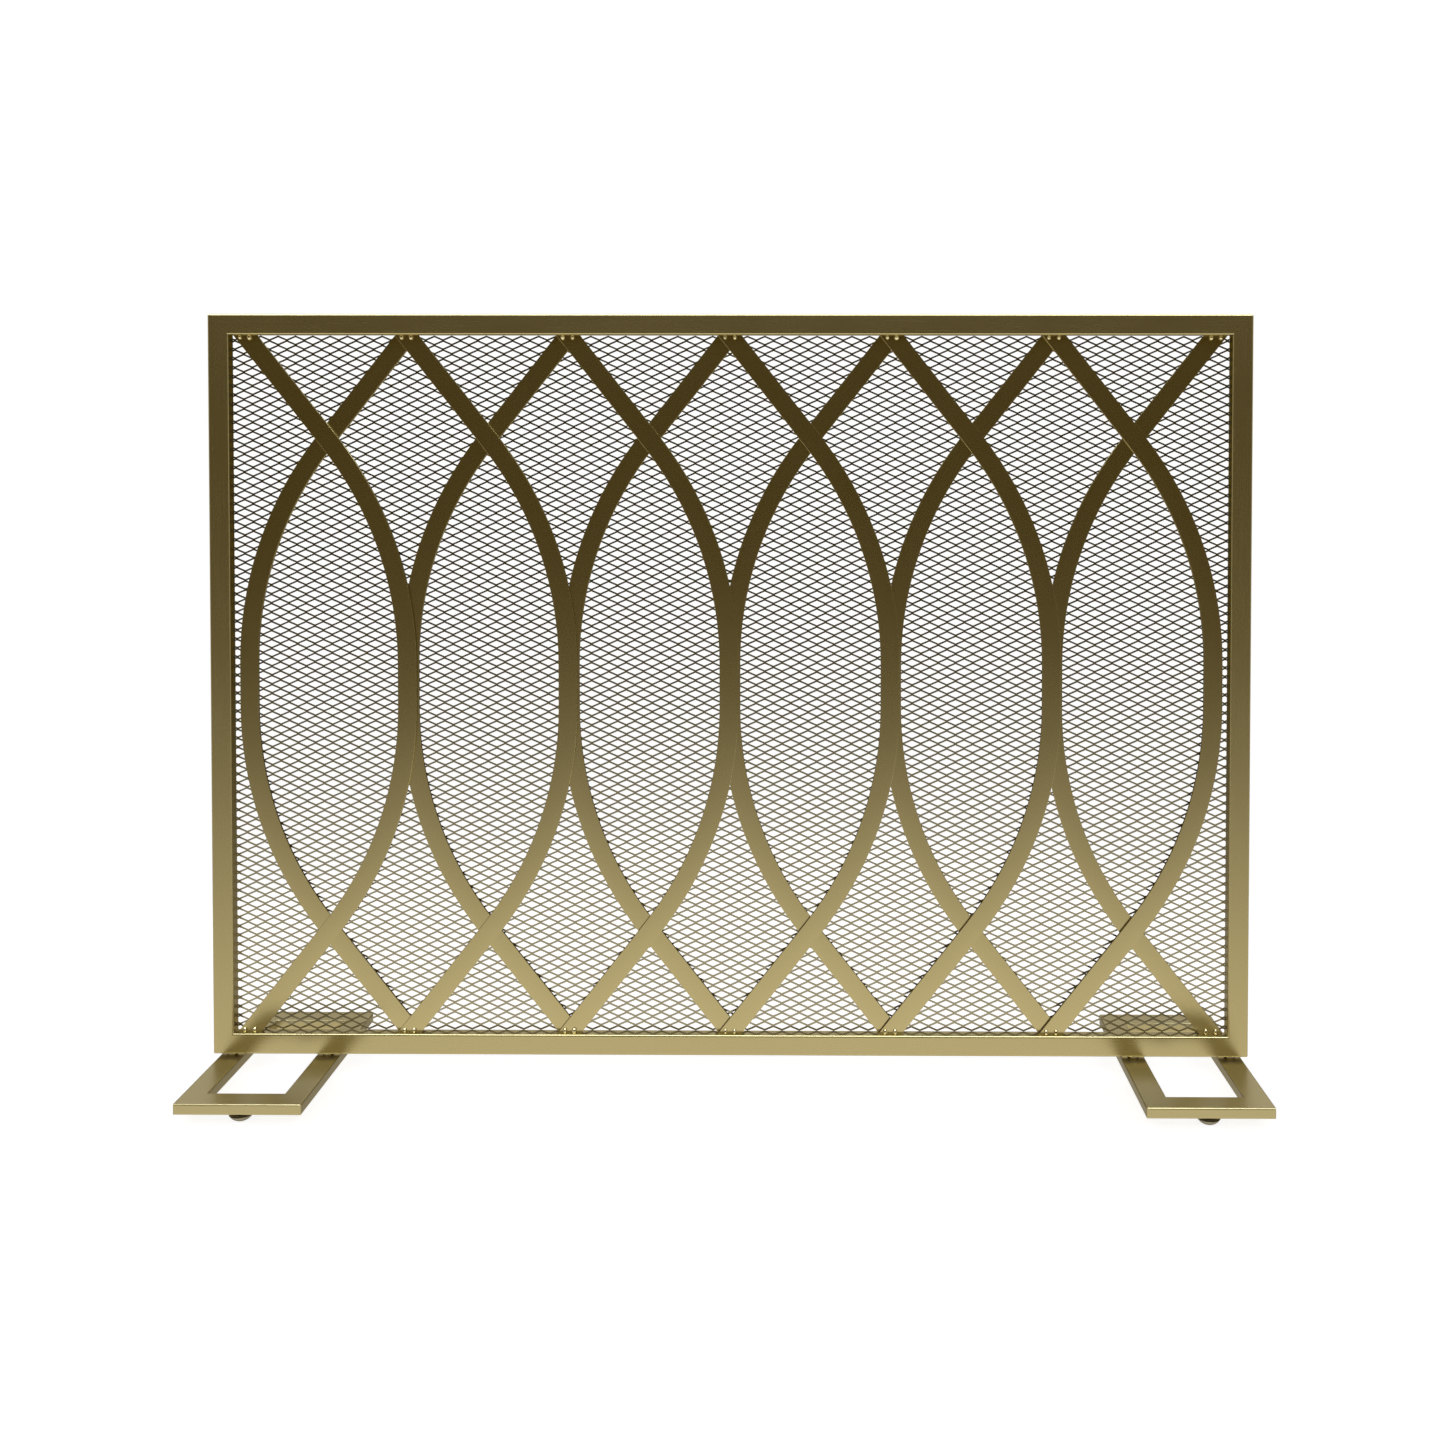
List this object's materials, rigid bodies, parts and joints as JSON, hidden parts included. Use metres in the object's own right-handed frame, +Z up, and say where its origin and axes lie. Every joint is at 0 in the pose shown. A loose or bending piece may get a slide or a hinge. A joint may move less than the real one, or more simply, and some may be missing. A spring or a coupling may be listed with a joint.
{
  "type": "fireplace screen",
  "caption": "Free-standing single-panel fireplace screen: a tube frame with crossing arcs over an expanded-metal spark guard, on two open feet with levelling glides.",
  "frame": {"origin": "on the floor, under the middle of the frame", "axes": "+X along the width, to the right as seen from the front; +Y to the back, towards the fire; +Z up"},
  "size_m": [0.965, 0.204, 0.711],
  "materials": {
    "satin_gold_tube": "satin champagne gold",
    "satin_gold_bar": "satin champagne gold",
    "satin_gold_foot": "satin champagne gold",
    "gold_mesh": "satin champagne gold",
    "polished_glide": "polished, warm nickel",
    "zinc_steel": "bright zinc plate"
  },
  "bodies": {
    "frame": {"top_rail": "satin_gold_tube", "bottom_rail": "satin_gold_tube", "left_stile": "satin_gold_tube", "right_stile": "satin_gold_tube", "front_arc_1": "satin_gold_bar", "front_arc_2": "satin_gold_bar", "front_arc_3": "satin_gold_bar", "front_arc_4": "satin_gold_bar", "front_arc_5": "satin_gold_bar", "front_arc_6": "satin_gold_bar", "rear_arc_1": "satin_gold_bar", "rear_arc_2": "satin_gold_bar", "rear_arc_3": "satin_gold_bar", "rear_arc_4": "satin_gold_bar", "rear_arc_5": "satin_gold_bar", "rear_arc_6": "satin_gold_bar", "spark_guard": "gold_mesh", "left_foot_front_bar": "satin_gold_foot", "left_foot_rear_bar": "satin_gold_foot", "left_foot_outer_bar": "satin_gold_foot", "left_foot_inner_bar": "satin_gold_foot", "right_foot_front_bar": "satin_gold_foot", "right_foot_rear_bar": "satin_gold_foot", "right_foot_outer_bar": "satin_gold_foot", "right_foot_inner_bar": "satin_gold_foot", "rail_rivet_nuts": "zinc_steel", "foot_spacers": "satin_gold_foot", "foot_crush_sleeves": "zinc_steel", "foot_washers": "zinc_steel", "foot_bolts": "zinc_steel", "foot_rivet_nuts": "zinc_steel"},
    "left_front_cup": {"left_front_glide_cup": "polished_glide"},
    "left_front_stem": {"left_front_glide_stem": "zinc_steel"},
    "left_rear_cup": {"left_rear_glide_cup": "polished_glide"},
    "left_rear_stem": {"left_rear_glide_stem": "zinc_steel"},
    "right_front_cup": {"right_front_glide_cup": "polished_glide"},
    "right_front_stem": {"right_front_glide_stem": "zinc_steel"},
    "right_rear_cup": {"right_rear_glide_cup": "polished_glide"},
    "right_rear_stem": {"right_rear_glide_stem": "zinc_steel"}
  },
  "joints": [
    {"name": "left_front_height", "type": "slide", "parent": "frame", "child": "left_front_cup", "axis": [0, 0, -1], "range_m": [0, 0.004]},
    {"name": "left_front_turn", "type": "hinge", "parent": "left_front_cup", "child": "left_front_stem", "pos_m": [-0.422, -0.091, 0.0056], "axis": [0, 0, -1], "range_deg": [0, 1440]},
    {"name": "left_rear_height", "type": "slide", "parent": "frame", "child": "left_rear_cup", "axis": [0, 0, -1], "range_m": [0, 0.004]},
    {"name": "left_rear_turn", "type": "hinge", "parent": "left_rear_cup", "child": "left_rear_stem", "pos_m": [-0.422, 0.091, 0.0056], "axis": [0, 0, -1], "range_deg": [0, 1440]},
    {"name": "right_front_height", "type": "slide", "parent": "frame", "child": "right_front_cup", "axis": [0, 0, -1], "range_m": [0, 0.004]},
    {"name": "right_front_turn", "type": "hinge", "parent": "right_front_cup", "child": "right_front_stem", "pos_m": [0.422, -0.091, 0.0056], "axis": [0, 0, -1], "range_deg": [0, 1440]},
    {"name": "right_rear_height", "type": "slide", "parent": "frame", "child": "right_rear_cup", "axis": [0, 0, -1], "range_m": [0, 0.004]},
    {"name": "right_rear_turn", "type": "hinge", "parent": "right_rear_cup", "child": "right_rear_stem", "pos_m": [0.422, 0.091, 0.0056], "axis": [0, 0, -1], "range_deg": [0, 1440]}
  ],
  "couplings": [
    {"joint": "left_front_turn", "follows": "left_front_height", "rad_per_m": 6283.2},
    {"joint": "left_rear_turn", "follows": "left_rear_height", "rad_per_m": 6283.2},
    {"joint": "right_front_turn", "follows": "right_front_height", "rad_per_m": 6283.2},
    {"joint": "right_rear_turn", "follows": "right_rear_height", "rad_per_m": 6283.2}
  ]
}
